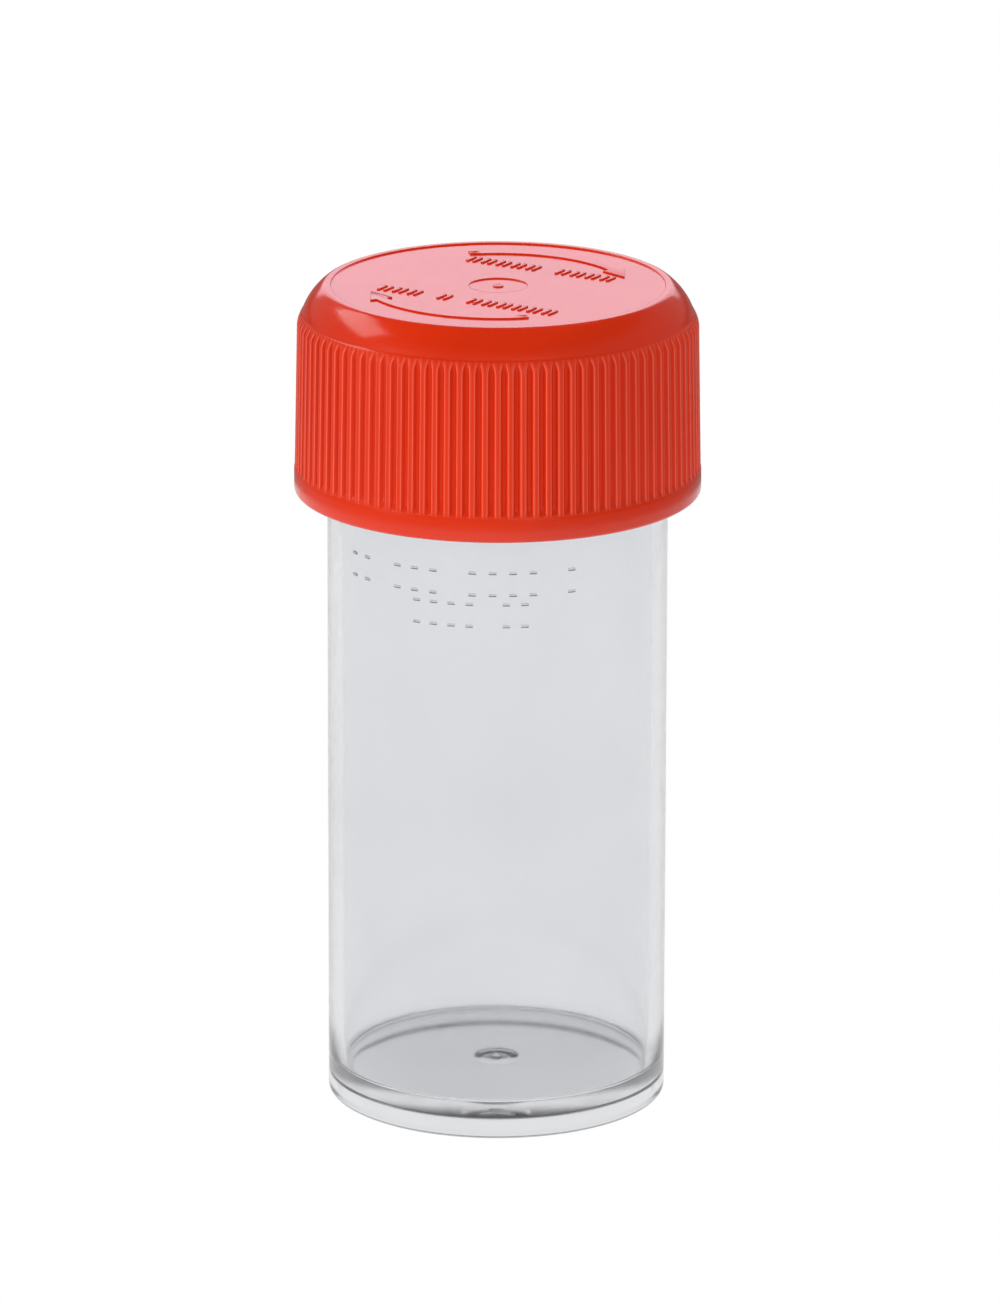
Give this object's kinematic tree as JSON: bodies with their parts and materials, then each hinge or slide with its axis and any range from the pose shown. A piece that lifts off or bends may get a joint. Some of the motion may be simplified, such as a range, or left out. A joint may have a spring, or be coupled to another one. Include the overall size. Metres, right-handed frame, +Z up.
{
  "type": "screw-capped sample tube",
  "caption": "Straight flat-bottomed translucent plastic sample tube with a ribbed orange-red screw cap and a sealing disc inside the cap.",
  "frame": {"origin": "centre of the foot ring's resting plane, on the tube's axis", "axes": "+Z up along the tube's axis towards the cap; -Y is the side with the faint raised dashes; +X is to the right when looking along +Y"},
  "size_m": [0.0418, 0.0418, 0.0864],
  "materials": {
    "clear_polypropylene": "smooth translucent natural polypropylene",
    "red_cap_plastic": "opaque glossy orange-red moulded plastic",
    "foam_liner": "white closed-cell polyethylene foam"
  },
  "bodies": {
    "container": {"tube": "clear_polypropylene"},
    "liner": {"sealing_disc": "foam_liner"},
    "screw_cap": {"cap": "red_cap_plastic"}
  },
  "joints": [
    {"name": "cap_lift", "type": "slide", "parent": "container", "child": "liner", "axis": [0, 0, 1], "range_m": [0, 0.02]},
    {"name": "cap_turn", "type": "hinge", "parent": "liner", "child": "screw_cap", "pos_m": [0, 0, 0.0756], "axis": [0, 0, 1], "range_deg": [0, 1800]}
  ],
  "couplings": [
    {"joint": "cap_lift", "follows": "cap_turn", "m_per_rad": 0.00063662}
  ]
}
